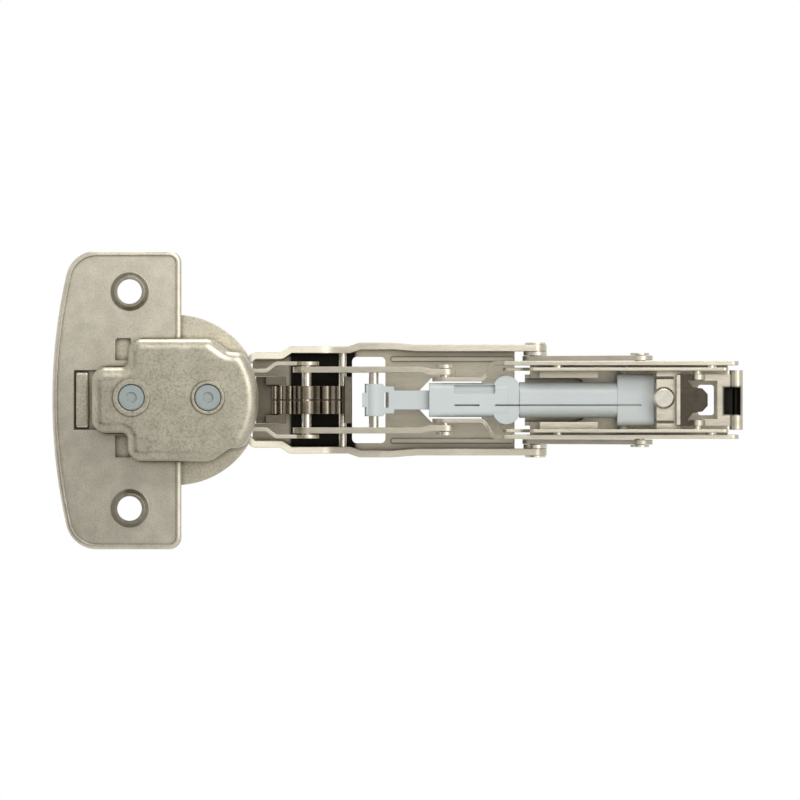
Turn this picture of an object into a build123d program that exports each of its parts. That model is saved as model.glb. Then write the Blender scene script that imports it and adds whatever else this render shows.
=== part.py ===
from build123d import *
import os

os.makedirs("parts", exist_ok=True)

# Concealed cup hinge, drawn at 90 degrees open. X runs from the cup to the rear of the arm,
# Y points into the cabinet, Z is the direction of every pivot. Millimetres.
# The origin is the centre of the cup bore on the face of the door.

# Boring pattern of the door
bore_d = 35.0
screw_pitch = 45.0
screw_line_x = -9.5
screw_hole_d = 5.1
screw_head_d = 8.0

# Pivots, each as a place in X and Y
lever_cup_pivot = Vector(12.3, 0.3)
link_cup_pivot = Vector(10.2, -3.4)
link_pivot = Vector(27.0, 11.5)
crossing_pivot = Vector(34.4, 21.5)
arm_pivot = Vector(55.95, 9.0)
control_pivot = Vector(96.8, 9.0)
rear_pivot = crossing_pivot + control_pivot - arm_pivot
damper_pivot = Vector(41.1, 10.0)
trunnion = Vector(93.4, damper_pivot.Y)

# Guide studs of the base that ride in slots of the arm, and the depth travel each way
front_guide = Vector(79.5, 5.8)
rear_guide = Vector(111.5, 5.8)
depth_travel = 2.0

# Sheet thicknesses
cup_sheet = 1.0
flange_sheet = 1.4
lever_sheet = 1.4
plate_sheet = 1.25
link_sheet = 0.8
arm_sheet = 0.85
base_sheet = 0.65

# Clearances: pins in turning holes, and plates that pass each other
turn_gap = 0.05
layer_gap = 0.25
open_pivot_gap = 0.6

# Pin diameters
cup_rivet_d = 1.9
cup_pin_d = 1.7
link_pin_d = 1.95
crossing_pin_d = 1.7
damper_pin_d = 2.0
arm_rivet_d = 2.0
control_rivet_d = 2.1
rear_rivet_d = 2.4
trunnion_d = 2.0
lever_pin_d = 1.6
guide_d = 2.2

# Half widths of the layers, from the middle outwards
tongue_inner = 3.9
tongue_outer = tongue_inner + arm_sheet
plate_rear_inner = tongue_outer + 2 * layer_gap
plate_inner = plate_rear_inner + 0.5
plate_outer = plate_inner + plate_sheet
link_inner = plate_outer + layer_gap
link_outer = link_inner + link_sheet
neck_inner = plate_outer + 0.1
neck_outer = neck_inner + lever_sheet
arm_outer = 8.1
arm_inner = arm_outer - arm_sheet
base_outer = arm_inner - 0.5
base_inner = base_outer - base_sheet
control_inner = arm_outer + 0.2
control_outer = control_inner + 1.0

# Far reach for cuts and for outlines that are trimmed by another outline
reach = 1.4 * screw_pitch


def face_plane(y):
    """A sketch plane at depth y whose extrusions come towards the door side."""
    return Plane.XZ.offset(-y)


def save(piece, name):
    piece.part.label = name
    export_step(piece.part, f"parts/{name}.step")


def pin(place, sections):
    """A turned pin along Z made of (diameter, low, high) sections."""
    with BuildPart() as turned:
        for diameter, low, high in sections:
            with BuildSketch(Plane.XY.offset(low)):
                with Locations(place):
                    Circle(diameter / 2)
            extrude(amount=high - low)
    return turned


def pair_of_pins(place, sections):
    """The same pin on both sides of the middle."""
    with BuildPart() as pair:
        add(pin(place, sections).part)
        mirror(about=Plane.XY)
    return pair


def strip_face(outer_line, sheet, bend=1.2):
    """Plan of a joggled sheet with rounded bends, drawn along the middle of the sheet."""
    middle_line = [(x, half_width - sheet / 2) for x, half_width in outer_line]
    with BuildSketch() as strip:
        with BuildLine():
            FilletPolyline(*middle_line, radius=bend)
        trace(line_width=sheet)
    return strip.sketch


# Hinge cup: deep-drawn pocket with a round collar, notched where the links leave it
pocket_depth = 12.0
pocket_r = bore_d / 2 - 0.2
pocket_left = -16.7
pocket_tab_half = 6.8
pocket_step_x = -9.4
pocket_half = 12.6
pocket_shoulder_x = 7.6
pocket_narrow_x = 11.4
pocket_narrow_half = neck_outer + 0.4 + cup_sheet
pocket_edge_r = 2.2
collar_r = bore_d / 2 + 0.2
collar_low = flange_sheet
collar_high = collar_low + cup_sheet
stud_d = 5.5
stud_z = 0.5
left_stud_x = -8.5
right_stud_x = 7.2
stud_ring_h = 0.45
window_left = -21.1
window_right = -15.8
window_half = 6.2


def pocket_outline(inset):
    """Outline of the drawn pocket, which stays inside the round bore."""
    corners = [
        (pocket_left, pocket_tab_half),
        (pocket_step_x, pocket_tab_half),
        (pocket_step_x, pocket_half),
        (pocket_shoulder_x, pocket_half),
        (pocket_narrow_x, pocket_narrow_half),
        (pocket_r + 5, pocket_narrow_half),
    ]
    radii = [2.8, 1.2, 2.8, 3.0, 3.0, 0.0]
    lower = [(x, -z) for x, z in reversed(corners)]
    with BuildSketch() as outline:
        with BuildLine():
            FilletPolyline(*corners, *lower, radius=radii + radii[::-1], close=True)
        make_face()
        Circle(pocket_r, mode=Mode.INTERSECT)
        ends = [v for v in outline.vertices() if v.X > pocket_narrow_x + 1 and abs(v.Y) > 1]
        fillet(ends, 2.6)
        offset(amount=-inset, mode=Mode.REPLACE)
    return outline.sketch


with BuildPart() as hinge_cup:
    with BuildSketch(face_plane(collar_high)):
        add(pocket_outline(0.001))
    extrude(amount=collar_high + pocket_depth)
    fillet(hinge_cup.faces().sort_by(Axis.Y)[0].edges(), pocket_edge_r)
    with BuildSketch(face_plane(collar_high)):
        Circle(collar_r)
        with Locations((window_left - 0.9, 0)):
            Rectangle(8, 2 * pocket_tab_half, align=(Align.MIN, Align.CENTER))
    extrude(amount=cup_sheet)
    # pad of the collar's tab, pressed into the flange's window
    with BuildSketch(face_plane(collar_low)):
        with Locations((window_left + 0.3, 0)):
            RectangleRounded(2.8, 2 * (window_half - 0.35), 0.5, align=(Align.MIN, Align.CENTER))
    extrude(amount=1.1)
    pad_edges = hinge_cup.edges().filter_by_position(Axis.X, window_left, window_left + 1)
    fillet(pad_edges.filter_by(Axis.Z).sort_by(Axis.Y)[0], 0.6)
    with BuildSketch(face_plane(collar_high)):
        add(pocket_outline(cup_sheet))
    extrude(amount=collar_high + pocket_depth - cup_sheet, mode=Mode.SUBTRACT)
    # raised rings round the two stud holes in the closed end
    for stud_x, ring_d in ((left_stud_x, 8.0), (right_stud_x, 7.2)):
        with BuildSketch(face_plane(-pocket_depth)):
            with Locations((stud_x, stud_z)):
                Circle(ring_d / 2)
        extrude(amount=stud_ring_h, taper=30)
        with BuildSketch(face_plane(0)):
            with Locations((stud_x, stud_z)):
                Circle(stud_d / 2 + turn_gap)
        extrude(amount=reach, mode=Mode.SUBTRACT)
    # mouth opened at its right end for the lever necks
    with BuildSketch(face_plane(collar_high + 1)):
        with Locations((lever_cup_pivot.X + 1.4, 0)):
            Rectangle(10, 2 * (pocket_narrow_half - cup_sheet), align=(Align.MIN, Align.CENTER))
    extrude(amount=collar_high + 1 + 2.4, mode=Mode.SUBTRACT)
    with BuildSketch(Plane.XY):
        with Locations(lever_cup_pivot):
            Circle(cup_rivet_d / 2)
        with Locations(link_cup_pivot):
            Circle(cup_pin_d / 2)
    extrude(amount=reach, both=True, mode=Mode.SUBTRACT)
save(hinge_cup, "hinge_cup")

# Mounting flange: pressed plate between the collar and the door, with a turned rim
flange_right = 1.2
flange_left = -25.6
flange_half = 31.0
flange_left_r = 117.7
flange_rim = 1.0
flange_recess = 0.4
flange_edge_x = flange_left + flange_left_r - (flange_left_r**2 - flange_half**2) ** 0.5


def flange_outline(inset):
    with BuildSketch() as outline:
        with BuildLine():
            Line((flange_right, -flange_half), (flange_right, flange_half))
            Line((flange_right, flange_half), (flange_edge_x, flange_half))
            ThreePointArc((flange_edge_x, flange_half), (flange_left, 0), (flange_edge_x, -flange_half))
            Line((flange_edge_x, -flange_half), (flange_right, -flange_half))
        make_face()
        fillet(outline.vertices().filter_by_position(Axis.X, flange_left, flange_right - 1), 6.5)
        fillet(outline.vertices().group_by(Axis.X)[-1], 2.5)
        offset(amount=-inset, mode=Mode.REPLACE)
    return outline.sketch


with BuildPart() as mounting_flange:
    with BuildSketch(face_plane(flange_sheet)):
        add(flange_outline(0.001))
    extrude(amount=flange_sheet)
    fillet(mounting_flange.faces().sort_by(Axis.Y)[0].edges(), 0.7)
    with BuildSketch(face_plane(flange_recess)):
        add(flange_outline(flange_rim))
    extrude(amount=flange_recess, mode=Mode.SUBTRACT)
    # conical dimples round the screws, pressed towards the door
    with BuildSketch(face_plane(flange_recess)):
        with Locations((screw_line_x, screw_pitch / 2), (screw_line_x, -screw_pitch / 2)):
            Circle(screw_head_d / 2)
    extrude(amount=flange_sheet - flange_recess, taper=40)
    with BuildSketch(face_plane(flange_sheet)):
        add(pocket_outline(-0.25))
        with Locations(((window_left + window_right) / 2, 0)):
            Rectangle(window_right - window_left, 2 * window_half)
        with Locations((pocket_step_x - 1.5, pocket_half - 2.1), (pocket_step_x - 1.5, 3.0 - pocket_half)):
            Rectangle(3.2, 4.6)
    extrude(amount=reach, mode=Mode.SUBTRACT)
    with Locations(Plane.XZ.offset(-flange_sheet).rotated((180, 0, 0))):
        with Locations((screw_line_x, screw_pitch / 2), (screw_line_x, -screw_pitch / 2)):
            CounterSinkHole(screw_hole_d / 2, screw_head_d / 2 - 0.5, depth=flange_sheet + 2)
save(mounting_flange, "mounting_flange")

# Plastic insert on the floor of the pocket, staked through it with two round studs
insert_h = 1.5
insert_half = 4.6
with BuildPart() as cup_insert:
    with BuildSketch(face_plane(cup_sheet + insert_h - pocket_depth)):
        with Locations(((left_stud_x + right_stud_x) / 2, 0)):
            SlotOverall(right_stud_x - left_stud_x + 2 * insert_half, 2 * insert_half)
    extrude(amount=insert_h)
    with BuildSketch(face_plane(cup_sheet - pocket_depth)):
        with Locations((left_stud_x, stud_z), (right_stud_x, stud_z)):
            Circle(stud_d / 2)
    extrude(amount=cup_sheet + 0.2)
    chamfer(cup_insert.faces().sort_by(Axis.Y)[:2].edges(), 0.25)
save(cup_insert, "cup_insert")

# Pins of the cup: short rivets for the outer lever and one full pin for the spring link
cup_wall_outer = pocket_narrow_half
cup_rivets = pair_of_pins(
    lever_cup_pivot,
    [(cup_rivet_d, neck_inner, cup_wall_outer)],
)
save(cup_rivets, "cup_rivets")
cup_pin = pin(link_cup_pivot, [(cup_pin_d, -cup_wall_outer, cup_wall_outer)])
save(cup_pin, "cup_pin")

# Outer lever: folded channel with joggled walls, from the cup over the arm to the rear pivot
web_low = 26.3
web_high = web_low + lever_sheet
neck_half = 1.9
neck_top = 9.0
lever_eye_r = 3.2
lever_end_x = rear_pivot.X + 2.4
web_front_x = 20.8
window_front_x = 36.4
window_rear_x = 43.5
web_rear_x = 71.0
lever_line = [
    (lever_cup_pivot.X - 4, neck_outer),
    (lever_cup_pivot.X + neck_half + 0.2, neck_outer),
    (lever_cup_pivot.X + neck_half + 1.8, 10.0),
    (21.7, 10.0),
    (23.6, 11.3),
    (35.8, 11.3),
    (38.1, 12.1),
    (45.0, 12.1),
    (50.0, 11.7),
    (lever_end_x + 5, 11.7),
]
lever_outer = lever_line[-1][1]
lever_inner = lever_outer - lever_sheet
lever_front_half = lever_line[4][1]

with BuildPart() as outer_lever:
    with BuildSketch(Plane.XZ):
        add(strip_face(lever_line, lever_sheet))
    extrude(amount=reach, both=True)
    with BuildSketch(Plane.XY):
        with BuildLine():
            FilletPolyline(
                (lever_cup_pivot.X - neck_half, lever_cup_pivot.Y),
                (lever_cup_pivot.X - neck_half, neck_top - 0.5),
                (15.4, 16.0),
                (web_front_x - 0.5, web_high),
                (web_rear_x + 0.5, web_high),
                (lever_end_x, rear_pivot.Y + lever_eye_r),
                (lever_end_x, rear_pivot.Y - lever_eye_r),
                (crossing_pivot.X + 8, crossing_pivot.Y - 4.5),
                (crossing_pivot.X - 3, crossing_pivot.Y - lever_eye_r - 1),
                (lever_cup_pivot.X + neck_half + 0.3, neck_top),
                (lever_cup_pivot.X + neck_half, lever_cup_pivot.Y),
                radius=[0, 3, 6, 2, 2, 2.6, 2.6, 6, 6, 2, 0],
                close=True,
            )
        make_face()
        with Locations(lever_cup_pivot):
            Circle(neck_half)
    extrude(amount=reach, both=True, mode=Mode.INTERSECT)
    mirror(about=Plane.XY)
    # web on the cabinet side: front part, window and rear part with a trapezoid opening
    with BuildSketch(face_plane(web_high)):
        with BuildLine():
            Polyline(
                (web_front_x, 9.4),
                (21.5, 9.4),
                (23.6, 10.6),
                (35.8, 10.6),
                (38.1, 11.4),
                (45.0, 11.4),
                (50.0, 11.0),
                (web_rear_x, 11.0),
                (web_rear_x, -11.0),
                (50.0, -11.0),
                (45.0, -11.4),
                (38.1, -11.4),
                (35.8, -10.6),
                (23.6, -10.6),
                (21.5, -9.4),
                (web_front_x, -9.4),
                close=True,
            )
        make_face()
        with Locations(((window_front_x + window_rear_x) / 2, 0)):
            RectangleRounded(window_rear_x - window_front_x, 2 * 9.2, 1.0, mode=Mode.SUBTRACT)
        with BuildLine():
            Polyline(
                (50.9, 2.2),
                (53.3, 4.7),
                (64.0, 4.7),
                (64.0, -4.7),
                (53.3, -4.7),
                (50.9, -2.2),
                close=True,
            )
        make_face(mode=Mode.SUBTRACT)
    extrude(amount=lever_sheet)
    # stiffening beads along the rear web
    with BuildSketch(face_plane(web_low)):
        with Locations(((window_rear_x + web_rear_x) / 2 + 0.5, 8.7), ((window_rear_x + web_rear_x) / 2 + 0.5, -8.7)):
            Rectangle(web_rear_x - window_rear_x - 1.5, 0.9)
    extrude(amount=0.5)
    with BuildSketch(Plane.XY):
        with Locations(lever_cup_pivot):
            Circle(cup_rivet_d / 2 + turn_gap)
        with Locations(crossing_pivot):
            Circle(crossing_pin_d / 2 + turn_gap)
        with Locations(rear_pivot):
            Circle(rear_rivet_d / 2)
    extrude(amount=reach, both=True, mode=Mode.SUBTRACT)
save(outer_lever, "outer_lever")

# Rear rivets: flanged studs that carry the control links on the outer lever
rear_rivets = pair_of_pins(
    rear_pivot,
    [
        (rear_rivet_d, control_inner, lever_outer),
        (rear_rivet_d + 2.6, control_outer + 0.1, lever_inner),
        (rear_rivet_d + 2.0, lever_outer, lever_outer + 0.45),
    ],
)
save(rear_rivets, "rear_rivets")

# Inner lever: two joggled plates between the arm tongue and the spring link
plate_eye_r = 3.0
plate_front_r = 2.9
plate_rear_r = 2.2
plate_line = [
    (link_pivot.X - 6, plate_outer),
    (51.0, plate_outer),
    (53.0, plate_rear_inner + plate_sheet),
    (arm_pivot.X + 6, plate_rear_inner + plate_sheet),
]
with BuildPart() as inner_lever_upper:
    with BuildSketch(Plane.XZ):
        add(strip_face(plate_line, plate_sheet))
    extrude(amount=reach, both=True)
    with BuildSketch(Plane.XY):
        with Locations(arm_pivot):
            Circle(plate_rear_r)
        with Locations(crossing_pivot):
            Circle(plate_eye_r)
        with Locations(link_pivot):
            Circle(plate_front_r)
        make_hull()
    extrude(amount=reach, both=True, mode=Mode.INTERSECT)
    with BuildSketch(Plane.XY):
        with Locations(arm_pivot):
            Circle(arm_rivet_d / 2 + turn_gap)
        with Locations(crossing_pivot):
            Circle(crossing_pin_d / 2)
        with Locations(link_pivot):
            Circle(link_pin_d / 2)
        with Locations(damper_pivot):
            Circle(damper_pin_d / 2)
    extrude(amount=reach, both=True, mode=Mode.SUBTRACT)
save(inner_lever_upper, "inner_lever_upper")

with BuildPart() as inner_lever_lower:
    mirror(inner_lever_upper.part, about=Plane.XY)
save(inner_lever_lower, "inner_lever_lower")

link_pin = pin(link_pivot, [(link_pin_d, -link_outer, link_outer)])
save(link_pin, "link_pin")
crossing_pin = pin(crossing_pivot, [(crossing_pin_d, -lever_front_half, lever_front_half)])
save(crossing_pin, "crossing_pin")
damper_pin = pin(damper_pivot, [(damper_pin_d, -plate_outer, plate_outer)])
save(damper_pin, "damper_pin")

# Closing spring: two packs of ridged leaves rolled round the link pin
spring_half = 2.95
spring_seam = 0.12
spring_front_x = 19.7
spring_rear_x = crossing_pivot.X
spring_leaf = 1.1
spring_ridges = ((20.3, 0.6), (21.5, 0.6), (23.4, 0.8), (25.3, 0.6), (31.0, 1.2), (33.7, 0.7))


def spring_pack(low, high):
    with BuildPart() as pack:
        with BuildSketch(Plane.XY.offset(low)):
            with Locations(link_pivot):
                Circle(link_pin_d / 2 + spring_leaf)
            with Locations(((spring_front_x + spring_rear_x) / 2, link_pivot.Y + link_pin_d / 2 + spring_leaf / 2)):
                SlotOverall(spring_rear_x - spring_front_x, spring_leaf)
            for ridge_x, ridge_r in spring_ridges:
                with Locations((ridge_x, link_pivot.Y + link_pin_d / 2 + 0.2)):
                    Circle(ridge_r)
            with Locations(link_pivot):
                Circle(link_pin_d / 2, mode=Mode.SUBTRACT)
        extrude(amount=high - low)
    return pack


spring_pack_upper = spring_pack(spring_seam, spring_half)
save(spring_pack_upper, "spring_pack_upper")
spring_pack_lower = spring_pack(-spring_half, -spring_seam)
save(spring_pack_lower, "spring_pack_lower")

# Spring holder: folded bracket behind the packs, with two bars beside their front ends
holder_low = link_pivot.Y + link_pin_d / 2 + 0.2 + max(r for x, r in spring_ridges) + 0.02
holder_high = holder_low + 0.8
holder_front_x = spring_front_x - 1.3
holder_rear_x = spring_rear_x + 2.0
holder_half = 4.9
with BuildPart() as spring_holder:
    with BuildSketch(face_plane(holder_high)):
        with Locations((holder_front_x, 0)):
            Rectangle(holder_rear_x - holder_front_x, 2 * spring_half, align=(Align.MIN, Align.CENTER))
            Rectangle(1.6, 2 * holder_half, align=(Align.MIN, Align.CENTER))
        with Locations((holder_rear_x, 0)):
            Rectangle(1.6, 2 * holder_half, align=(Align.MAX, Align.CENTER))
    extrude(amount=holder_high - holder_low)
    # bars beside the front ends of the packs, and the turned rear edge
    with BuildSketch(face_plane(holder_low + 0.4)):
        with Locations((holder_front_x, 4.05), (holder_front_x, -4.05)):
            Rectangle(4.2, 2 * holder_half - 2 * 4.05, align=(Align.MIN, Align.CENTER))
        with Locations((holder_rear_x, 0)):
            Rectangle(1.4, 2 * holder_half, align=(Align.MAX, Align.CENTER))
    extrude(amount=2.8)
save(spring_holder, "spring_holder")

# Spring link: two hooked plates from the link pin into the pocket
link_width = 3.2
link_line = [
    (link_cup_pivot.X - 12, plate_inner + link_sheet),
    (18.6, plate_inner + link_sheet),
    (20.6, link_outer),
    (link_pivot.X + 8, link_outer),
]
with BuildPart() as spring_link_upper:
    with BuildSketch(Plane.XZ):
        add(strip_face(link_line, link_sheet))
    extrude(amount=reach, both=True)
    with BuildSketch(Plane.XY):
        with BuildLine():
            FilletPolyline(
                (link_cup_pivot.X, link_cup_pivot.Y),
                (7.6, 4.0),
                (7.9, 9.2),
                (14.0, 11.0),
                (link_pivot.X, link_pivot.Y),
                radius=[3.0, 3.0, 6.0],
            )
        trace(line_width=link_width)
        with Locations(link_cup_pivot):
            Circle(link_width / 2 + 0.7)
        with Locations(link_pivot):
            Circle(link_width / 2 + 1.0)
    extrude(amount=reach, both=True, mode=Mode.INTERSECT)
    with BuildSketch(Plane.XY):
        with Locations(link_cup_pivot):
            Circle(cup_pin_d / 2 + open_pivot_gap)
        with Locations(link_pivot):
            Circle(link_pin_d / 2 + turn_gap)
    extrude(amount=reach, both=True, mode=Mode.SUBTRACT)
save(spring_link_upper, "spring_link_upper")

with BuildPart() as spring_link_lower:
    mirror(spring_link_upper.part, about=Plane.XY)
save(spring_link_lower, "spring_link_lower")

# Control links: straight plates outside the arm, from the arm's rear pivot to the outer lever
control_width = 5.4
with BuildPart() as control_link_upper:
    with BuildSketch(Plane.XY.offset(control_inner)):
        with Locations(rear_pivot, control_pivot):
            Circle(control_width / 2)
        make_hull()
        with Locations(rear_pivot):
            Circle(rear_rivet_d / 2 + turn_gap, mode=Mode.SUBTRACT)
        with Locations(control_pivot):
            Circle(control_rivet_d / 2 + turn_gap, mode=Mode.SUBTRACT)
    extrude(amount=control_outer - control_inner)
save(control_link_upper, "control_link_upper")

with BuildPart() as control_link_lower:
    mirror(control_link_upper.part, about=Plane.XY)
save(control_link_lower, "control_link_lower")

# Arm: channel open towards the cabinet side wall, with a narrow tongue at its front
tongue_r = 2.6
joggle_x = arm_pivot.X + 8.05
arm_low = 3.5
arm_shoulder = arm_pivot.Y + 3.1
arm_high = 17.0
arm_rear_x = 117.2
arm_web_x = joggle_x + 10
arm_slot_half = 4.4
cam_x = 101.5
cam_z = 0.45
cam_d = 4.6
arm_line = [
    (arm_pivot.X - 6, tongue_outer),
    (joggle_x, tongue_outer),
    (joggle_x + 2, arm_outer),
    (arm_rear_x, arm_outer),
]
with BuildPart() as arm:
    with BuildSketch(Plane.XZ):
        add(strip_face(arm_line, arm_sheet))
    extrude(amount=reach, both=True)
    with BuildSketch(Plane.XY):
        with BuildLine():
            FilletPolyline(
                (arm_pivot.X, arm_pivot.Y - tongue_r),
                (joggle_x + 1, arm_pivot.Y - tongue_r - 0.6),
                (joggle_x + 4, arm_low),
                (arm_rear_x, arm_low),
                (arm_rear_x, arm_high),
                (joggle_x + 13, arm_high),
                (joggle_x + 5, arm_shoulder),
                (arm_pivot.X, arm_pivot.Y + tongue_r),
                radius=[0, 2, 2, 1.5, 1.5, 3, 3, 0],
                close=True,
            )
        make_face()
        with Locations(arm_pivot):
            Circle(tongue_r)
    extrude(amount=reach, both=True, mode=Mode.INTERSECT)
    mirror(about=Plane.XY)
    with BuildSketch(face_plane(arm_high)):
        with Locations((arm_web_x, 0)):
            Rectangle(arm_rear_x - arm_web_x - 1.5, 2 * arm_outer - 1.0, align=(Align.MIN, Align.CENTER))
        # room for the damper to rise, access to the cam, and the rear window
        with Locations((arm_web_x, 0)):
            SlotOverall(2 * 11.5, 2 * arm_slot_half, mode=Mode.SUBTRACT)
        with Locations((cam_x, cam_z)):
            Circle(cam_d / 2 + 0.6, mode=Mode.SUBTRACT)
        with Locations((109.4, 0)):
            RectangleRounded(3.4, 6.4, 0.6, align=(Align.MIN, Align.CENTER), mode=Mode.SUBTRACT)
    extrude(amount=arm_sheet)
    with BuildSketch(Plane.XY):
        with Locations(arm_pivot):
            Circle(arm_rivet_d / 2)
        with Locations(control_pivot):
            Circle(control_rivet_d / 2)
        with Locations(trunnion):
            Circle(trunnion_d / 2 + turn_gap)
        with Locations(front_guide, rear_guide):
            SlotCenterToCenter(2 * depth_travel, guide_d + 2 * turn_gap)
    extrude(amount=reach, both=True, mode=Mode.SUBTRACT)
save(arm, "arm")

arm_rivets = pair_of_pins(
    arm_pivot,
    [
        (arm_rivet_d, tongue_inner, plate_rear_inner + plate_sheet + 0.1),
        (arm_rivet_d + 1.4, plate_rear_inner + plate_sheet + 0.1, plate_rear_inner + plate_sheet + 0.9),
    ],
)
save(arm_rivets, "arm_rivets")
control_rivets = pair_of_pins(
    control_pivot,
    [
        (control_rivet_d, arm_inner, control_outer + 0.1),
        (control_rivet_d + 1.9, control_outer + 0.1, control_outer + 0.55),
    ],
)
save(control_rivets, "control_rivets")

# Base channel: inner channel that clips on the mounting plate
base_low = 1.5
base_high = 8.3
base_front_x = 72.2
base_rear_x = 114.9
foot_x = 68.2
bridge_x = 100.0
bridge_low = 3.4
bridge_high = bridge_low + 0.8
bridge_end_x = 104.9
cam_shank_d = 2.8
lever_pivot = Vector(108.6, 5.0)
with BuildPart() as base_channel:
    with BuildSketch(Plane.XY.offset(base_inner)):
        with BuildLine():
            FilletPolyline(
                (foot_x, base_high),
                (foot_x, base_high - 2.6),
                (base_front_x, base_high - 2.6),
                (base_front_x + 1.5, base_low),
                (base_rear_x, base_low),
                (base_rear_x, base_high),
                radius=[0, 0.8, 0.8, 1.0, 1.0, 1.0],
                close=True,
            )
        make_face()
    extrude(amount=base_sheet)
    mirror(about=Plane.XY)
    with BuildSketch(face_plane(base_high)):
        with Locations((75.8, 0)):
            Rectangle(12.2, 2 * base_outer - 0.4, align=(Align.MIN, Align.CENTER))
        with Locations((75.0, 0)):
            Rectangle(20.0, 2 * 4.6, align=(Align.MIN, Align.CENTER), mode=Mode.SUBTRACT)
    extrude(amount=base_sheet)
    with BuildSketch(face_plane(bridge_high)):
        with Locations((bridge_x, 0)):
            Rectangle(bridge_end_x - bridge_x, 2 * base_outer - 0.4, align=(Align.MIN, Align.CENTER))
        with Locations((bridge_x, 4.6), (bridge_x, -4.6)):
            Rectangle(3.6, 0.6, align=(Align.MIN, Align.CENTER), mode=Mode.SUBTRACT)
        with Locations((cam_x, cam_z)):
            Circle(cam_shank_d / 2 + turn_gap, mode=Mode.SUBTRACT)
    extrude(amount=bridge_high - bridge_low)
    # turned edge at the rear of the bridge
    with BuildSketch(face_plane(bridge_low)):
        with Locations((bridge_end_x, 0)):
            Rectangle(0.8, 2 * 5.2, align=(Align.MAX, Align.CENTER))
    extrude(amount=1.2)
    with BuildSketch(Plane.XY):
        with Locations(lever_pivot):
            Circle(lever_pin_d / 2)
        with Locations(front_guide, rear_guide):
            Circle(guide_d / 2)
    extrude(amount=reach, both=True, mode=Mode.SUBTRACT)
save(base_channel, "base_channel")

# Guide studs, riveted in the base walls
guide_studs_front = pair_of_pins(front_guide, [(guide_d, base_inner, arm_outer)])
save(guide_studs_front, "guide_studs_front")
guide_studs_rear = pair_of_pins(rear_guide, [(guide_d, base_inner, arm_outer)])
save(guide_studs_rear, "guide_studs_rear")

# Depth cam: riveted in the bridge, with a cross recess on the side that faces the cabinet
with BuildPart() as depth_cam:
    with BuildSketch(face_plane(bridge_low - 0.1)):
        with Locations((cam_x, cam_z)):
            Circle(cam_d / 2)
    extrude(amount=0.9)
    with BuildSketch(face_plane(bridge_high + 0.6)):
        with Locations((cam_x, cam_z)):
            Circle(cam_shank_d / 2)
    extrude(amount=bridge_high - bridge_low + 0.7)
    with BuildSketch(face_plane(bridge_high + 0.6)):
        with Locations((cam_x, cam_z)):
            Rectangle(0.5, 2.0)
            Rectangle(2.0, 0.5)
    extrude(amount=1.2, mode=Mode.SUBTRACT)
save(depth_cam, "depth_cam")

# Release lever with its pin and its dark leaf spring
lever_plate = 1.2
lever_half = 5.4
knuckle_inner = 4.2
release_front_x = lever_pivot.X - 1.6
release_rear_x = 118.1
roll_r = 1.4
roll_wall = 0.6
roll_half = 6.2
roll_x = release_rear_x - roll_r
with BuildPart() as release_lever:
    with BuildSketch(face_plane(lever_pivot.Y + lever_plate / 2)):
        with Locations((release_front_x, 0)):
            Rectangle(roll_x - release_front_x, 2 * lever_half, align=(Align.MIN, Align.CENTER))
            Rectangle(5.7, 2 * knuckle_inner - 0.4, align=(Align.MIN, Align.CENTER), mode=Mode.SUBTRACT)
    extrude(amount=lever_plate)
    with BuildSketch(Plane.XY.offset(knuckle_inner)):
        with Locations(lever_pivot):
            Circle(lever_pin_d / 2 + 0.9)
    extrude(amount=lever_half - knuckle_inner)
    mirror(about=Plane.XY)
    # rolled rear end, with a finger notch that opens it on the viewer's side
    with BuildSketch(Plane.XY.offset(-roll_half)):
        with Locations((roll_x, lever_pivot.Y)):
            Circle(roll_r)
    extrude(amount=2 * roll_half)
    with BuildSketch(Plane.XY):
        with Locations((roll_x, lever_pivot.Y)):
            Circle(roll_r - roll_wall)
    extrude(amount=reach, both=True, mode=Mode.SUBTRACT)
    with BuildSketch(face_plane(lever_pivot.Y + 0.3)):
        with Locations((release_rear_x - 0.6, -0.25)):
            Rectangle(3.1, 5.7, align=(Align.MAX, Align.CENTER))
    extrude(amount=reach, mode=Mode.SUBTRACT)
    with BuildSketch(Plane.XY):
        with Locations(lever_pivot):
            Circle(lever_pin_d / 2 + turn_gap)
    extrude(amount=reach, both=True, mode=Mode.SUBTRACT)
save(release_lever, "release_lever")

lever_pin = pair_of_pins(lever_pivot, [(lever_pin_d, knuckle_inner, base_outer)])
save(lever_pin, "lever_pin")

with BuildPart() as lever_spring:
    with BuildSketch(face_plane(bridge_low - 0.4)):
        with BuildLine():
            Polyline(
                (bridge_end_x, 5.4),
                (bridge_end_x + 2.1, 5.4),
                (bridge_end_x + 1.6, 4.0),
                (bridge_end_x + 2.6, 2.7),
                (bridge_end_x + 4.6, 2.4),
                (bridge_end_x + 5.7, 1.2),
                (bridge_end_x + 5.7, -1.2),
                (bridge_end_x + 4.6, -2.4),
                (bridge_end_x + 2.6, -2.7),
                (bridge_end_x + 1.6, -4.0),
                (bridge_end_x + 2.1, -5.4),
                (bridge_end_x, -5.4),
                close=True,
            )
        make_face()
    extrude(amount=0.8)
save(lever_spring, "lever_spring")

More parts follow.
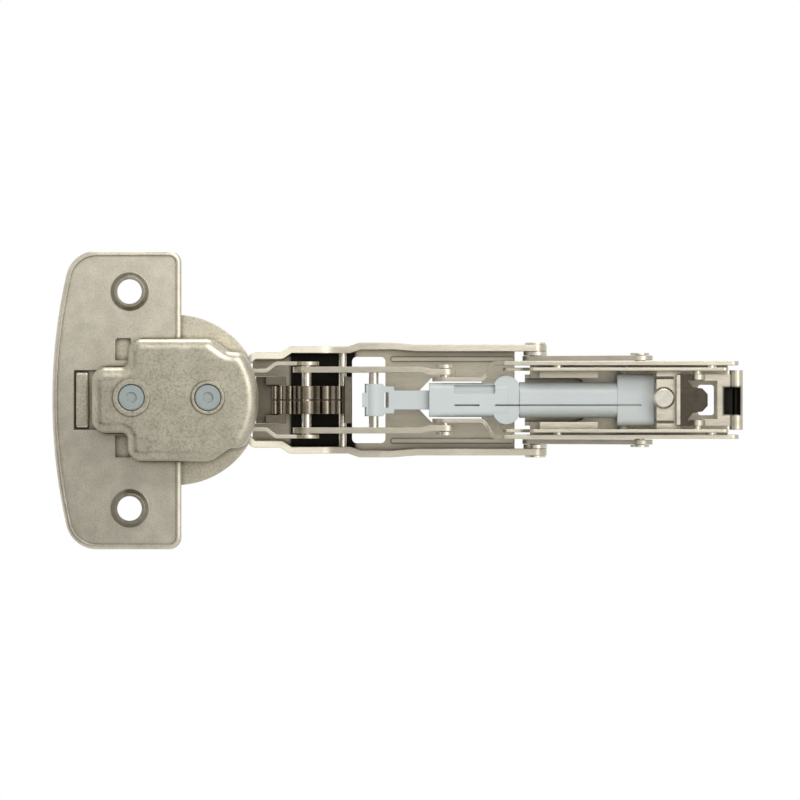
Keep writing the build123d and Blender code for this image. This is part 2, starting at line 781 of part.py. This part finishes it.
# Damper: moulded housing on trunnions in the arm, with a rod pinned to the inner lever
damper_y = damper_pivot.Y
damper_r = 3.75
carrier_front_x = 52.7
carrier_half = 3.55
shoulder_x = joggle_x + 2.0
shoulder_len = 5.6
neck_x = shoulder_x + 3.2
neck_r = 1.6
cylinder_x = shoulder_x + shoulder_len
tail_x = 92.0
tail_rear_x = 99.7
rod_half = 2.0
rod_r = 1.5
bore_gap = 0.5
slit_z = -1.1
slit_width = 0.3
slit_depth = 0.7
with BuildPart() as damper_carrier:
    with BuildSketch(Plane.YZ.offset(carrier_front_x)):
        with Locations((damper_y, 0)):
            RectangleRounded(2 * damper_r - 0.4, 2 * carrier_half, 1.2)
    extrude(amount=neck_x - carrier_front_x)
    with BuildSketch(Plane.XZ.offset(-damper_y)):
        with Locations((shoulder_x + shoulder_len / 2, 0)):
            SlotOverall(2 * 5.1, shoulder_len, rotation=90)
    extrude(amount=damper_r - 0.3, both=True)
    with BuildSketch(Plane.YZ.offset(neck_x)):
        with Locations((damper_y, 0)):
            Circle(neck_r)
    extrude(amount=shoulder_len, mode=Mode.SUBTRACT)
    # bore for the rod, with room for its small swing
    with BuildSketch(Plane.YZ.offset(carrier_front_x)):
        with Locations((damper_y, 0)):
            Rectangle(2 * (rod_r + bore_gap), 2 * (rod_half + 0.15))
    extrude(amount=11.5, mode=Mode.SUBTRACT)
    # recess and slit on the open side
    with BuildSketch(face_plane(damper_y - damper_r + 1.2)):
        with Locations((62.2, 2.25)):
            Rectangle(8.5, 1.7)
        with Locations((58.0, slit_z)):
            Rectangle(5.2, slit_width, align=(Align.MIN, Align.CENTER))
        with Locations((shoulder_x + 0.5, slit_z)):
            Rectangle(shoulder_len, slit_width, align=(Align.MIN, Align.CENTER))
    extrude(amount=3, mode=Mode.SUBTRACT)
save(damper_carrier, "damper_carrier")

with BuildPart() as damper_cylinder:
    with BuildSketch(Plane.YZ.offset(cylinder_x)):
        with Locations((damper_y, 0)):
            RectangleRounded(2 * damper_r, 2 * damper_r, 2.4)
    extrude(amount=tail_x - cylinder_x)
    with BuildSketch(face_plane(damper_y - damper_r + slit_depth)):
        with Locations((cylinder_x, slit_z)):
            Rectangle(tail_x - cylinder_x, slit_width, align=(Align.MIN, Align.CENTER))
    extrude(amount=3, mode=Mode.SUBTRACT)
    with BuildSketch(Plane.YZ.offset(neck_x)):
        with Locations((damper_y, 0)):
            Circle(neck_r)
    extrude(amount=cylinder_x - neck_x)
save(damper_cylinder, "damper_cylinder")

with BuildPart() as damper_tail:
    with BuildSketch(Plane.YZ.offset(tail_x)):
        with Locations((damper_y, 0)):
            RectangleRounded(2 * damper_r - 0.6, 2 * 5.4, 1.4)
    extrude(amount=tail_rear_x - tail_x)
    with BuildSketch(face_plane(damper_y - damper_r + slit_depth)):
        with Locations((tail_x, slit_z)):
            Rectangle(5.0, slit_width, align=(Align.MIN, Align.CENTER))
    extrude(amount=3, mode=Mode.SUBTRACT)
    with BuildSketch(Plane.XY.offset(-arm_outer)):
        with Locations(trunnion):
            Circle(trunnion_d / 2)
    extrude(amount=2 * arm_outer)
save(damper_tail, "damper_tail")

with BuildPart() as damper_rod:
    with BuildSketch(face_plane(damper_y + rod_r)):
        with Locations((damper_pivot.X - 1.6, 0)):
            RectangleRounded(3.8, 2 * 3.4, 0.6, align=(Align.MIN, Align.CENTER))
        with Locations((damper_pivot.X - 2.4, 0)):
            Rectangle(2.0, 2 * 1.5, align=(Align.MIN, Align.CENTER))
        with Locations((damper_pivot.X + 1.6, 0)):
            RectangleRounded(2.7, 2 * 2.85, 0.4, align=(Align.MIN, Align.CENTER))
        with Locations((damper_pivot.X + 4.0, 0)):
            Rectangle(12.3, 2 * rod_half, align=(Align.MIN, Align.CENTER))
    extrude(amount=2 * rod_r)
    with BuildSketch(Plane.XY.offset(-3.4)):
        with Locations(damper_pivot):
            Circle(damper_pin_d / 2 + 0.9)
    extrude(amount=2 * 3.4)
    with BuildSketch(face_plane(reach / 2)):
        with Locations((damper_pivot.X + 2.2, 0)):
            Rectangle(0.9, 2 * 1.6, align=(Align.MIN, Align.CENTER))
    extrude(amount=reach, mode=Mode.SUBTRACT)
    with BuildSketch(Plane.XY):
        with Locations(damper_pivot):
            Circle(damper_pin_d / 2 + turn_gap)
    extrude(amount=reach, both=True, mode=Mode.SUBTRACT)
save(damper_rod, "damper_rod")
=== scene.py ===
import math

import bmesh
import bpy
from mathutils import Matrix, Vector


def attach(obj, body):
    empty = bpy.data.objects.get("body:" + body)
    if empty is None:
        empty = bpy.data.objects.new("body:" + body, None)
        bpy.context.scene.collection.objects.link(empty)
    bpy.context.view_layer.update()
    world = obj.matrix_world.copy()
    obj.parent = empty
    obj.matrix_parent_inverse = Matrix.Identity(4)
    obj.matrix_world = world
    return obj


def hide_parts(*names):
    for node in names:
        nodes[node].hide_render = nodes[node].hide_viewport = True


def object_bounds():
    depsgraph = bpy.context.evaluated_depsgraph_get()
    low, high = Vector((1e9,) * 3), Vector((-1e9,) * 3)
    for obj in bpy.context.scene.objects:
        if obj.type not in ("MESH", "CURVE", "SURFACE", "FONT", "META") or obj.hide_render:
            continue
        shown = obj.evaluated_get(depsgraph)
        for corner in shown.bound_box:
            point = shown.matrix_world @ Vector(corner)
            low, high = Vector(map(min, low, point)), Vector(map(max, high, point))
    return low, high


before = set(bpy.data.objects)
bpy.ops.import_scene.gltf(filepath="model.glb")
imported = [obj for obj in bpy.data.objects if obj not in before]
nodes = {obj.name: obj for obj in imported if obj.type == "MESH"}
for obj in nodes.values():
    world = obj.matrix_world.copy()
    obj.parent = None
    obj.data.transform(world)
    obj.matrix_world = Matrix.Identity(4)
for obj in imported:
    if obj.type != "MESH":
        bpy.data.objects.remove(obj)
first_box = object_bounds()
mm = 0.001

# Cup: deep-drawn sheet steel, nickel-plated in a barrel.
# Drawing stretches the sheet, so the floor of the pocket is grainy. The pocket is also painted darker
# towards its floor, as the shade deep in it.
edge_radius = 0.22 * mm
crease_width = 1.4 * mm
pit_height = 0.05 * mm
pocket_floor_y = -11.0 * mm
collar_y = -1.0 * mm
pocket_floor_shade = 0.74


def linear(code):
    """An sRGB hex colour as linear red, green, blue and alpha."""
    channels = [int(code[i : i + 2], 16) / 255 for i in (1, 3, 5)]
    return [c / 12.92 if c <= 0.04045 else ((c + 0.055) / 1.055) ** 2.4 for c in channels] + [1.0]


def add_node(tree, kind, settings=None, **links):
    """Adds a node, sets its values, and links its inputs, where underscores stand for spaces."""
    node = tree.nodes.new(kind)
    for key, value in (settings or {}).items():
        if hasattr(node, key):
            setattr(node, key, value)
        else:
            node.inputs[key].default_value = value
    for key, socket in links.items():
        tree.links.new(socket, node.inputs[key.replace("_", " ")])
    return node


def remap(tree, value, low, high, first, last):
    """Turns a value between low and high into one between first and last."""
    ends = {"From Min": low, "From Max": high, "To Min": first, "To Max": last}
    return add_node(tree, "ShaderNodeMapRange", ends, Value=value).outputs["Result"]


def combine(tree, operation, first, second):
    """One value from two, such as their product or the larger of them."""
    both = add_node(tree, "ShaderNodeMath", {"operation": operation})
    tree.links.new(first, both.inputs[0])
    tree.links.new(second, both.inputs[1])
    return both.outputs["Value"]


def plated_steel(name, colour, roughness, grain, relief, worn, specks, stretch=1.0, alone=True):
    """Nickel on steel: a warm metal whose gloss follows the grain of the sheet below it.

    Specks is how much darker the pits are. A stretch above 1 draws the grain out along X, as rolling
    does. Shade is painted darker into creases, also those with a neighbour unless the piece stands alone."""
    material = bpy.data.materials.new(name)
    material.use_nodes = True
    tree = material.node_tree
    shader = tree.nodes["Principled BSDF"]
    shader.inputs["Metallic"].default_value = 1.0
    place = add_node(tree, "ShaderNodeTexCoord")
    drawn = add_node(
        tree, "ShaderNodeMapping", {"Scale": (1 / stretch, 1.0, 1.0)}, Vector=place.outputs["Object"]
    )
    pits = add_node(
        tree,
        "ShaderNodeTexNoise",
        {"Scale": 1 / grain, "Detail": 4.0, "Roughness": 0.6},
        Vector=drawn.outputs["Vector"],
    )
    blotches = add_node(
        tree,
        "ShaderNodeTexNoise",
        {"Scale": 1 / (9 * grain), "Detail": 2.0},
        Vector=drawn.outputs["Vector"],
    )
    crease_occlusion = add_node(
        tree, "ShaderNodeAmbientOcclusion", {"samples": 8, "only_local": alone, "Distance": crease_width}
    )
    blotched = remap(tree, blotches.outputs["Fac"], 0.35, 0.65, 0.9, 1.05)
    pitted = remap(tree, pits.outputs["Fac"], 0.36, 0.54, 1 - specks, 1.02)
    # Painted shade: the colour darkens where ambient occlusion finds a crease.
    crease_shade = remap(tree, crease_occlusion.outputs["AO"], 0.35, 0.9, 0.25, 1.0)
    tone = combine(tree, "MULTIPLY", combine(tree, "MULTIPLY", blotched, pitted), crease_shade)
    plating = add_node(tree, "ShaderNodeHueSaturation", {"Color": linear(colour)}, Value=tone)
    tree.links.new(plating.outputs["Color"], shader.inputs["Base Color"])
    gloss = remap(tree, pits.outputs["Fac"], 0.3, 0.7, roughness - worn, roughness + worn)
    tree.links.new(gloss, shader.inputs["Roughness"])
    edges = add_node(tree, "ShaderNodeBevel", {"samples": 4, "Radius": edge_radius})
    skin = add_node(
        tree,
        "ShaderNodeBump",
        {"Strength": relief, "Distance": pit_height},
        Height=pits.outputs["Fac"],
        Normal=edges.outputs["Normal"],
    )
    tree.links.new(skin.outputs["Normal"], shader.inputs["Normal"])
    return material


def piece_axes(tree):
    """A node that gives the X, Y and Z of a point on the piece."""
    place = add_node(tree, "ShaderNodeTexCoord")
    return add_node(tree, "ShaderNodeSeparateXYZ", Vector=place.outputs["Object"])


def darken(tree, tone):
    """Multiplies the colour of a material by a tone that another node gives."""
    base = tree.nodes["Principled BSDF"].inputs["Base Color"]
    darker = add_node(tree, "ShaderNodeHueSaturation", Color=base.links[0].from_socket, Value=tone)
    tree.links.new(darker.outputs["Color"], base)


def finish_nodes(material, *names):
    """Gives these CAD nodes one material all over."""
    for name in names:
        slots = nodes[name].data.materials
        slots.clear()
        slots.append(material)


drawn_steel = plated_steel(
    "barrel-plated drawn steel",
    "#CBC4B0",
    roughness=0.4,
    grain=0.45 * mm,
    relief=0.14,
    worn=0.06,
    specks=0.22,
    alone=False,
)
drawn_tree = drawn_steel.node_tree
drawn_y = piece_axes(drawn_tree).outputs["Y"]
# Painted shade: the cup darkens from the collar down to the floor of the pocket.
darken(drawn_tree, remap(drawn_tree, drawn_y, pocket_floor_y, collar_y, pocket_floor_shade, 1.0))
finish_nodes(drawn_steel, "hinge_cup")

# Screw flange: pressed from thicker strip and plated with the cup.
# Pressing leaves it smoother than the drawn pocket, and it renders brighter as it has none of the pocket's
# painted shade.
# The dimples round the screws are painted a darker grey, as the shade in them.
dimple_x = -9.5 * mm
dimple_z = 22.5 * mm
dimple_r = 4.1 * mm
dimple_rim = 0.94
dimple_shade_tone = 0.5
pressed_steel = plated_steel(
    "barrel-plated pressed steel",
    "#C9C2B1",
    roughness=0.37,
    grain=0.4 * mm,
    relief=0.09,
    worn=0.05,
    specks=0.14,
    alone=False,
)
pressed_tree = pressed_steel.node_tree
pressed_axes = piece_axes(pressed_tree)
either_end = add_node(
    pressed_tree, "ShaderNodeMath", {"operation": "ABSOLUTE"}, Value=pressed_axes.outputs["Z"]
)
folded = add_node(
    pressed_tree, "ShaderNodeCombineXYZ", X=pressed_axes.outputs["X"], Z=either_end.outputs["Value"]
)
from_screw = add_node(pressed_tree, "ShaderNodeVectorMath", {"operation": "DISTANCE"})
from_screw.inputs[1].default_value = (dimple_x, 0, dimple_z)
pressed_tree.links.new(folded.outputs["Vector"], from_screw.inputs[0])
# Painted shade: the dimples round the screws are darker.
darken(
    pressed_tree,
    remap(
        pressed_tree, from_screw.outputs["Value"], dimple_rim * dimple_r, dimple_r, dimple_shade_tone, 1.0
    ),
)
finish_nodes(pressed_steel, "mounting_flange")

# Links, inner lever and base: blanked and folded strip with the same nickel.
# Rolled strip is smoother than the cup, and its fine grain runs along the hinge.
strip_finish = {
    "colour": "#BFB8A7",
    "roughness": 0.34,
    "grain": 0.3 * mm,
    "relief": 0.05,
    "worn": 0.05,
    "specks": 0.08,
    "stretch": 6.0,
}
strip_steel = plated_steel("nickel-plated strip steel", **strip_finish)
finish_nodes(
    strip_steel,
    "inner_lever_upper",
    "inner_lever_lower",
    "spring_link_upper",
    "spring_link_lower",
    "control_link_upper",
    "control_link_lower",
    "base_channel",
)

# Outer lever: the same strip, folded to a channel, with two lips that run forward beside the springs.
# Black is painted on the inside of its front web as the deep shade in the channel, and thins out at its
# edges.
lip_front_x = 15.2
lip_rear_x = 21.3
lip_inner = 5.0
lip_outer = 9.5
web_low = 26.31
web_high = 27.69
wall_inner = 8.61
wall_outer = 9.99
wall_side = [
    (17.4, 15.0),
    (15.0, 26.9),
    (15.8, web_high),
    (lip_rear_x, web_high),
    (lip_rear_x, 16.0),
]
web_shade_low = (22.8, 20.0, -10.7)
web_shade_high = (37.6, 27.5, 10.7)
web_shade_fade = 0.7
painted_shade_tone = 0.03
weld_distance = 0.0005 * mm
rim_height = 0.001 * mm
rim_angle = 1.0
smooth_angle = math.radians(25)


def paint_shade_block(material, low, high, fade):
    """Painted black shade in a block of a piece, with corners in millimetres, which thins out at its edges.
    """
    tree = material.node_tree
    axes = piece_axes(tree)
    sides = []
    for axis, first, last in zip("XYZ", low, high):
        for edge, inwards in ((first, fade), (last, -fade)):
            inner_edge = (edge + inwards) * mm
            sides.append(remap(tree, axes.outputs[axis], edge * mm, inner_edge, 0.0, 1.0))
    shade_mask = sides[0]
    for side in sides[1:]:
        shade_mask = combine(tree, "MINIMUM", shade_mask, side)
    darken(tree, remap(tree, shade_mask, 0.0, 1.0, 1.0, painted_shade_tone))


def prism(name, corners, low, high, along):
    """A solid with an outline in millimetres, from low to high along Y or Z."""
    shape = bmesh.new()
    rings = []
    for level in (low, high):
        places = [(a, level, b) if along == "Y" else (a, b, level) for a, b in corners]
        rings.append([shape.verts.new([mm * c for c in place]) for place in places])
        shape.faces.new(rings[-1])
    for i, corner in enumerate(rings[0]):
        shape.faces.new((rings[0][i - 1], corner, rings[1][i], rings[1][i - 1]))
    bmesh.ops.recalc_face_normals(shape, faces=shape.faces)
    mesh = bpy.data.meshes.new(name)
    shape.to_mesh(mesh)
    shape.free()
    solid = bpy.data.objects.new(name, mesh)
    bpy.context.collection.objects.link(solid)
    return solid


def rectangle(front_x, rear_x, first_z, last_z):
    """Corners of a rectangle as seen along Y."""
    return [(front_x, first_z), (rear_x, first_z), (rear_x, last_z), (front_x, last_z)]


def detailed(node, name, body, material, joined=(), cut=(), broken=0.0):
    """A copy of a CAD node with solids joined to it and cut from it, which stands for the node.

    Broken is the chamfer, in millimetres, round the face that lies lowest along Y."""
    mesh = nodes[node].data.copy()
    if "custom_normal" in mesh.attributes:
        mesh.attributes.remove(mesh.attributes["custom_normal"])
    shape = bmesh.new()
    shape.from_mesh(mesh)
    bmesh.ops.remove_doubles(shape, verts=shape.verts, dist=weld_distance)
    if broken:
        lowest = min(corner.co.y for corner in shape.verts) + rim_height
        rim = [
            edge
            for edge in shape.edges
            if max(corner.co.y for corner in edge.verts) < lowest
            and edge.calc_face_angle(0.0) > rim_angle
        ]
        bmesh.ops.bevel(shape, geom=rim, offset=broken * mm, segments=1, affect="EDGES")
    shape.to_mesh(mesh)
    shape.free()
    piece = bpy.data.objects.new(name, mesh)
    bpy.context.collection.objects.link(piece)
    for solids, way in ((joined, "UNION"), (cut, "DIFFERENCE")):
        for solid in solids:
            step = piece.modifiers.new(solid.name, "BOOLEAN")
            step.solver = "EXACT"
            step.operation = way
            step.object = solid
    whole = piece.evaluated_get(bpy.context.evaluated_depsgraph_get())
    piece.data = bpy.data.meshes.new_from_object(whole)
    piece.modifiers.clear()
    for solid in (*joined, *cut):
        bpy.data.objects.remove(solid)
    piece.data.shade_smooth()
    piece.data.set_sharp_from_angle(angle=smooth_angle)
    piece.data.materials.clear()
    piece.data.materials.append(material)
    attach(piece, body)
    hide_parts(node)


# Painted shade: the inside of the front web is black, where the channel is deep.
web_shaded_steel = plated_steel("nickel-plated strip steel with painted web shade", **strip_finish)
paint_shade_block(web_shaded_steel, web_shade_low, web_shade_high, web_shade_fade)
lips = []
for side in (1, -1):
    lip = rectangle(lip_front_x, lip_rear_x, side * lip_inner, side * lip_outer)
    lips.append(prism("lip", lip, web_low, web_high, "Y"))
    lips.append(prism("lip wall", wall_side, side * wall_inner, side * wall_outer, "Z"))
detailed("outer_lever", "outer_lever_channel", "outer", web_shaded_steel, joined=lips)

# Arm: the same strip, folded to a channel, with a raised pressing over the damper.
# The damper rises into the pressing as the door closes.
rise_front_x = 73.0
rise_rear_x = 86.4
rise_half = 5.4
rise_corner = 1.6
rise_cut = 0.3 * rise_corner
rise_high = 19.6
arm_sheet = 0.85
arm_web_low = 16.4
room_below = 1.0
rise_outline = [
    (rise_front_x, rise_half),
    (rise_rear_x - rise_corner, rise_half),
    (rise_rear_x - rise_cut, rise_half - rise_cut),
    (rise_rear_x, rise_half - rise_corner),
]
rise_outline += [(x, -z) for x, z in reversed(rise_outline)]
room_outline = [(x - arm_sheet, z * (rise_half - arm_sheet) / rise_half) for x, z in rise_outline]
rise = prism("rise", rise_outline, arm_web_low, rise_high, "Y")
room = prism("room", room_outline, arm_web_low - room_below, rise_high - arm_sheet, "Y")
detailed("arm", "arm_channel", "arm", strip_steel, joined=[rise], cut=[room])

# Release lever: the same strip, rolled at its free end to a grip.
# The slot of the roll is painted black right through, as the deep shade in it.
roll_low = (113.6, -5.0, -3.4)
roll_high = (117.9, 30.0, 3.1)
roll_fade = 0.5
rolled_shaded_steel = plated_steel("rolled nickel-plated strip steel with painted shade", **strip_finish)
paint_shade_block(rolled_shaded_steel, roll_low, roll_high, roll_fade)
finish_nodes(rolled_shaded_steel, "release_lever")

# Pins, rivets, studs and the cam: turned steel, plated and tumbled bright.
# They are pressed or riveted in one lever and turn in the next. The cam's head has a broken edge.
cam_chamfer = 0.45
pin_steel = plated_steel(
    "bright-plated turned steel",
    "#CFCABD",
    roughness=0.26,
    grain=0.2 * mm,
    relief=0.01,
    worn=0.03,
    specks=0.04,
)
finish_nodes(
    pin_steel,
    "cup_rivets",
    "cup_pin",
    "rear_rivets",
    "link_pin",
    "crossing_pin",
    "damper_pin",
    "arm_rivets",
    "control_rivets",
    "lever_pin",
    "guide_studs_front",
    "guide_studs_rear",
)
detailed("depth_cam", "depth_cam_head", "cam", pin_steel, broken=cam_chamfer)

# Spring packs and their holder: hardened strip rolled round the link pin, with a film of oil.
# The film darkens the plating and softens its shine.
holder_front_x = 16.3
holder_rear_x = 21.2
holder_half = 4.9
holder_low = 13.91
holder_high = 14.68
oiled_grain = {"grain": 0.3 * mm, "relief": 0.1, "worn": 0.06, "specks": 0.15}
oiled_strip = plated_steel("oiled spring strip", "#82796A", roughness=0.24, **oiled_grain)
finish_nodes(oiled_strip, "spring_pack_upper", "spring_pack_lower")
oiled_bracket = plated_steel("oiled bracket steel", "#6E675A", roughness=0.38, **oiled_grain)
# The lip in front of the holder is a dark piece put where there is only shade between the cup and the
# springs.
shade_lip_outline = rectangle(holder_front_x, holder_rear_x, holder_half, -holder_half)
shade_lip = prism("dark lip in the shade", shade_lip_outline, holder_low, holder_high, "Y")
detailed(
    "spring_holder", "spring_holder_bracket", "inner", oiled_bracket, joined=[shade_lip]
)

# Spring of the release lever: a leaf blackened in hot oxide.
# The oxide is brown-black and half matt, and its grain is coarser than that of the plating.
black_oxide = plated_steel(
    "black oxide spring steel",
    "#4A443B",
    roughness=0.42,
    grain=0.4 * mm,
    relief=0.25,
    worn=0.06,
    specks=0.15,
)
finish_nodes(black_oxide, "lever_spring")

# Damper: housing and rod moulded in acetal, a pale blue-grey and slightly waxy plastic.
# A fine spark-eroded mould gives it a soft sheen.
mould_grain = 0.25 * mm
mould_relief = 0.03 * mm
mould_edge = 0.3 * mm
flow_length = 6 * mm
light_depth = 0.8 * mm
sheen_range = 0.06
tail_front_x = 99.5
tail_rear_x = 100.4
tail_half = 3.6
tail_corner = 0.2
tail_low = 7.05
tail_high = 12.95


def moulded_plastic(name, colour, roughness, ior, glow):
    """Moulded plastic: eroded-mould grain, slight flow marks, and some light carried under its skin."""
    material = bpy.data.materials.new(name)
    material.use_nodes = True
    tree = material.node_tree
    shader = tree.nodes["Principled BSDF"]
    shader.inputs["IOR"].default_value = ior
    shader.inputs["Subsurface Weight"].default_value = glow
    shader.inputs["Subsurface Radius"].default_value = (1.0, 1.0, 1.0)
    shader.inputs["Subsurface Scale"].default_value = light_depth
    place = add_node(tree, "ShaderNodeTexCoord")
    grain = add_node(
        tree, "ShaderNodeTexNoise", {"Scale": 1 / mould_grain, "Detail": 3.0}, Vector=place.outputs["Object"]
    )
    flow = add_node(
        tree, "ShaderNodeTexNoise", {"Scale": 1 / flow_length, "Detail": 2.0}, Vector=place.outputs["Object"]
    )
    tone = remap(tree, flow.outputs["Fac"], 0.0, 1.0, 0.96, 1.04)
    body = add_node(tree, "ShaderNodeHueSaturation", {"Color": linear(colour)}, Value=tone)
    tree.links.new(body.outputs["Color"], shader.inputs["Base Color"])
    sheen = remap(tree, grain.outputs["Fac"], 0.0, 1.0, roughness - sheen_range, roughness + sheen_range)
    tree.links.new(sheen, shader.inputs["Roughness"])
    edges = add_node(tree, "ShaderNodeBevel", {"samples": 4, "Radius": mould_edge})
    skin = add_node(
        tree,
        "ShaderNodeBump",
        {"Strength": 0.08, "Distance": mould_relief},
        Height=grain.outputs["Fac"],
        Normal=edges.outputs["Normal"],
    )
    tree.links.new(skin.outputs["Normal"], shader.inputs["Normal"])
    return material


acetal = moulded_plastic("moulded blue-grey acetal", "#C2C8C7", roughness=0.4, ior=1.48, glow=0.0)
finish_nodes(acetal, "damper_carrier", "damper_cylinder", "damper_rod")
tail_end = [
    (tail_front_x, tail_half),
    (tail_rear_x - tail_corner, tail_half),
    (tail_rear_x, tail_half - tail_corner),
]
tail_end += [(x, -z) for x, z in reversed(tail_end)]
tail_cap = prism("tail cap", tail_end, tail_low, tail_high, "Y")
detailed("damper_tail", "damper_tail_cap", "housing", acetal, joined=[tail_cap])

# Insert on the floor of the cup: natural polyamide, staked through two holes.
# It is milky and lets a little light through, and each stud has a round gate mark.
stud_places = [(-8.5, 0.5), (7.2, 0.5)]
stud_top = -12.2
gate_r = 1.1
gate_depth = 0.3
gate_above = 1.0
gate_sides = 32
polyamide = moulded_plastic("natural grey polyamide", "#9BA4A1", roughness=0.35, ior=1.53, glow=0.25)
turns = [math.tau * i / gate_sides for i in range(gate_sides)]
gates = []
for stud_x, stud_z in stud_places:
    ring = [(stud_x + gate_r * math.cos(t), stud_z + gate_r * math.sin(t)) for t in turns]
    gates.append(prism("gate", ring, stud_top - gate_above, stud_top + gate_depth, "Y"))
detailed("cup_insert", "cup_insert_moulding", "cup", polyamide, cut=gates)

# Studio: a pale floor below the hinge, and a white sheet all round it.
# The sheet is the world: white to the eye and in the metal, and a plain level as a light.
middle = (0.045, 0.0, 0.0)
floor_drop = 0.09
floor_size = 0.5
world_light = 0.55


def matt(name, colour, roughness):
    """A dull material for what stands round the hinge."""
    material = bpy.data.materials.new(name)
    material.use_nodes = True
    shader = material.node_tree.nodes["Principled BSDF"]
    shader.inputs["Base Color"].default_value = linear(colour)
    shader.inputs["Roughness"].default_value = roughness
    return material


bpy.ops.mesh.primitive_plane_add(
    size=floor_size, location=(middle[0], middle[1], first_box[0][2] - floor_drop)
)
floor = bpy.context.object
floor.name = "studio_floor"
floor.data.materials.append(matt("matt white paper", "#F2F2F0", 0.9))

studio = bpy.data.worlds.new("white sheet")
bpy.context.scene.world = studio
studio.use_nodes = True
sky = studio.node_tree
sheet = sky.nodes["Background"]
sheet.inputs["Color"].default_value = linear("#FFFFFF")
ray = add_node(sky, "ShaderNodeLightPath")
seen = combine(sky, "MAXIMUM", ray.outputs["Is Camera Ray"], ray.outputs["Is Glossy Ray"])
seen = combine(sky, "MAXIMUM", seen, ray.outputs["Is Transmission Ray"])
sky.links.new(remap(sky, seen, 0.0, 1.0, world_light, 1.0), sheet.inputs["Strength"])


def soft_box(name, place, aim, size, watts):
    """A square lamp with a diffuser, turned to the point it lights."""
    lamp = bpy.data.lights.new(name, "AREA")
    lamp.size = size
    lamp.energy = watts
    holder = bpy.data.objects.new(name, lamp)
    bpy.context.collection.objects.link(holder)
    holder.location = place
    towards = [a - p for a, p in zip(aim, place)]
    flat = math.hypot(towards[0], towards[1])
    holder.rotation_euler = (math.atan2(flat, -towards[2]), 0, math.atan2(-towards[0], towards[1]))


soft_box("key softbox", (0.11, -0.26, 0.18), aim=(0.02, 0.0, 0.01), size=0.14, watts=0.45)
soft_box("fill softbox", (0.40, -0.50, 0.10), aim=middle, size=0.30, watts=0.8)
soft_box("top softbox", (0.05, 0.15, 0.55), aim=middle, size=0.30, watts=1.5)

# Black card low on the left, which plated metal mirrors: it gives the flat faces their depth.
# It stands close, so that they darken from the upper right to the lower left.
card_size = 0.26
card_place = (-0.142, -0.22, -0.125)
upright = (math.radians(90), 0, 0)
bpy.ops.mesh.primitive_plane_add(size=card_size, location=card_place, rotation=upright)
card = bpy.context.object
card.name = "black_card"
card.visible_camera = False
card.data.materials.append(matt("black felt", "#3A3832", 0.95))

# Camera: level, square to the door, with a long lens as product pictures have.
# The frame is as wide as the photograph's, and its middle is between the cup and the arm.
view_width = 0.166
view_distance = 1.0
view_middle = (0.0466, 0.0)
lens = bpy.data.cameras.new("product lens")
lens.sensor_width = 36.0
lens.lens = lens.sensor_width * view_distance / view_width
camera = bpy.data.objects.new("camera", lens)
bpy.context.collection.objects.link(camera)
camera.location = (view_middle[0], -view_distance, view_middle[1])
camera.rotation_euler = upright
bpy.context.scene.camera = camera
bpy.context.scene.view_settings.view_transform = "Standard"
